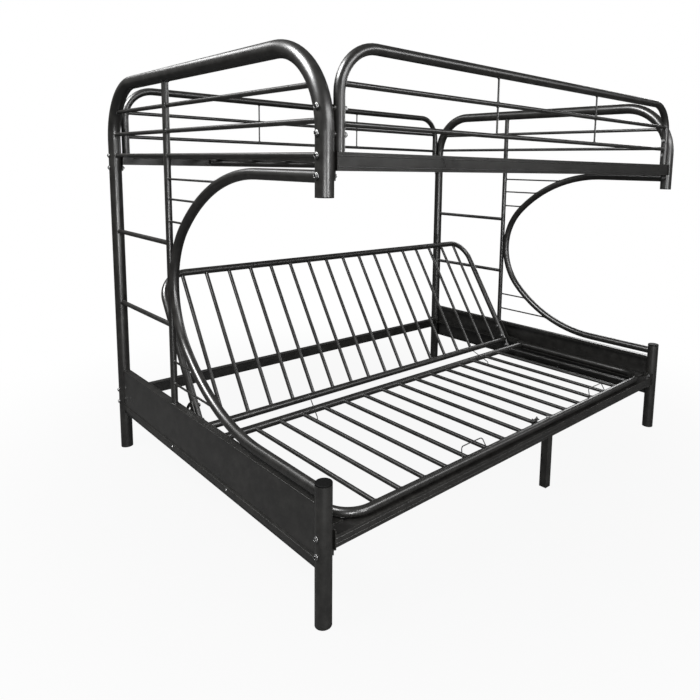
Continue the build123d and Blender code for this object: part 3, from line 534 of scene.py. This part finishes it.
def place_camera():
    forward = Vector((math.sin(YAW) * math.cos(PITCH), math.cos(YAW) * math.cos(PITCH), -math.sin(PITCH)))
    right = Vector((math.cos(YAW), -math.sin(YAW), 0.0))
    up = right.cross(forward)
    turned_right = right * math.cos(ROLL) + up * math.sin(ROLL)
    turned_up = -right * math.sin(ROLL) + up * math.cos(ROLL)
    data = bpy.data.cameras.new("camera")
    data.sensor_width = SENSOR_MM
    data.lens = FOCAL_PX / FRAME_PX * SENSOR_MM
    data.shift_x = (FRAME_PX / 2 - CENTRE_PX[0]) / FRAME_PX
    data.shift_y = (CENTRE_PX[1] - FRAME_PX / 2) / FRAME_PX
    data.clip_start = 0.05
    data.clip_end = 100.0
    camera = bpy.data.objects.new("camera", data)
    bpy.context.scene.collection.objects.link(camera)
    turn = Matrix((turned_right, turned_up, -forward)).transposed()
    camera.matrix_world = Matrix.Translation(Vector(CAMERA_INCHES) * INCH) @ turn.to_4x4()
    bpy.context.scene.camera = camera


place_camera()


# Floor, surroundings and light

FLOOR_REACH = 30.0
FLOOR_TONE = 0.045
FLOOR_ROUGHNESS = 0.9
# Distances from the middle between which the floor turns white, and its whiteness there
FADE_FROM, FADE_TO = 0.9, 2.6
WHITE_NEAR, WHITE_FAR = 0.93, 1.0
SKY_LIGHT = 0.12
# Name, place, target, size and watts
LAMPS = (
    ("key", (-3.1, 0.3, 4.0), (-0.3, -0.1, 0.8), (2.1, 1.5), 520.0),
    ("front", (-0.5, -4.6, 1.2), (-0.4, 0.0, 0.7), (1.0, 1.2), 84.0),
    ("low", (-2.3, -3.0, 0.7), (-1.2, -1.3, 0.0), (0.8, 0.5), 80.0),
    ("floor_front", (0.2, -3.2, 2.4), (0.1, -1.9, 0.0), (3.0, 0.8), 110.0),
    ("right", (3.4, -3.6, 2.6), (0.0, 0.0, 0.8), (1.2, 1.6), 26.0),
    ("right_end", (4.2, 0.6, 2.2), (1.0, 0.0, 0.7), (1.6, 1.6), 60.0),
    ("back", (-1.6, 3.6, 3.9), (0.0, 0.0, 0.8), (1.8, 0.9), 42.0),
)


def floor_whiteness(tree):
    """How white the camera sees the floor: less near the bed, full further out, none for light."""
    coordinates = tree.nodes.new("ShaderNodeTexCoord")
    length = tree.nodes.new("ShaderNodeVectorMath")
    length.operation = "LENGTH"
    tree.links.new(coordinates.outputs["Object"], length.inputs[0])
    fade = tree.nodes.new("ShaderNodeMapRange")
    fade.interpolation_type = "SMOOTHSTEP"
    fade.inputs["From Min"].default_value = FADE_FROM
    fade.inputs["From Max"].default_value = FADE_TO
    fade.inputs["To Min"].default_value = WHITE_NEAR
    fade.inputs["To Max"].default_value = WHITE_FAR
    tree.links.new(length.outputs["Value"], fade.inputs["Value"])
    rays = tree.nodes.new("ShaderNodeLightPath")
    seen = tree.nodes.new("ShaderNodeMath")
    seen.operation = "MULTIPLY"
    tree.links.new(fade.outputs["Result"], seen.inputs[0])
    tree.links.new(rays.outputs["Is Camera Ray"], seen.inputs[1])
    return seen.outputs["Value"]


def add_floor():
    """Pale floor that keeps a soft shadow near the bed and is white further out."""
    material, tree, shader = new_material("studio_floor")
    shader.inputs["Base Color"].default_value = grey(FLOOR_TONE)
    shader.inputs["Roughness"].default_value = FLOOR_ROUGHNESS
    white = tree.nodes.new("ShaderNodeEmission")
    white.inputs["Color"].default_value = grey(1.0)
    white.inputs["Strength"].default_value = 1.0
    mixer = tree.nodes.new("ShaderNodeMixShader")
    tree.links.new(floor_whiteness(tree), mixer.inputs["Fac"])
    tree.links.new(shader.outputs["BSDF"], mixer.inputs[1])
    tree.links.new(white.outputs["Emission"], mixer.inputs[2])
    tree.links.new(mixer.outputs["Shader"], tree.nodes["Material Output"].inputs["Surface"])
    mesh = bpy.data.meshes.new("studio_floor")
    corners = [(x * FLOOR_REACH, y * FLOOR_REACH, 0) for x, y in ((-1, -1), (1, -1), (1, 1), (-1, 1))]
    mesh.from_pydata(corners, [], [(0, 1, 2, 3)])
    floor = bpy.data.objects.new("studio_floor", mesh)
    bpy.context.scene.collection.objects.link(floor)
    mesh.materials.append(material)


def add_surroundings():
    """White to the camera, dim as a light."""
    world = bpy.data.worlds.new("studio")
    bpy.context.scene.world = world
    world.use_nodes = True
    tree = world.node_tree
    dim = tree.nodes["Background"]
    dim.inputs["Color"].default_value = grey(1.0)
    dim.inputs["Strength"].default_value = SKY_LIGHT
    seen = tree.nodes.new("ShaderNodeBackground")
    seen.inputs["Color"].default_value = grey(1.0)
    seen.inputs["Strength"].default_value = 1.0
    rays = tree.nodes.new("ShaderNodeLightPath")
    mixer = tree.nodes.new("ShaderNodeMixShader")
    tree.links.new(rays.outputs["Is Camera Ray"], mixer.inputs["Fac"])
    tree.links.new(dim.outputs["Background"], mixer.inputs[1])
    tree.links.new(seen.outputs["Background"], mixer.inputs[2])
    tree.links.new(mixer.outputs["Shader"], tree.nodes["World Output"].inputs["Surface"])


def add_lamp(name, position, target, size, watts):
    """Soft rectangular lamp aimed at a point."""
    data = bpy.data.lights.new(name, "AREA")
    data.shape = "RECTANGLE"
    data.size, data.size_y = size
    data.energy = watts
    lamp = bpy.data.objects.new(name, data)
    bpy.context.scene.collection.objects.link(lamp)
    lamp.visible_camera = False
    lamp.location = position
    lamp.rotation_euler = (Vector(target) - Vector(position)).to_track_quat("-Z", "Y").to_euler()


add_floor()
add_surroundings()
for lamp in LAMPS:
    add_lamp(*lamp)

bpy.context.scene.view_settings.view_transform = "Standard"
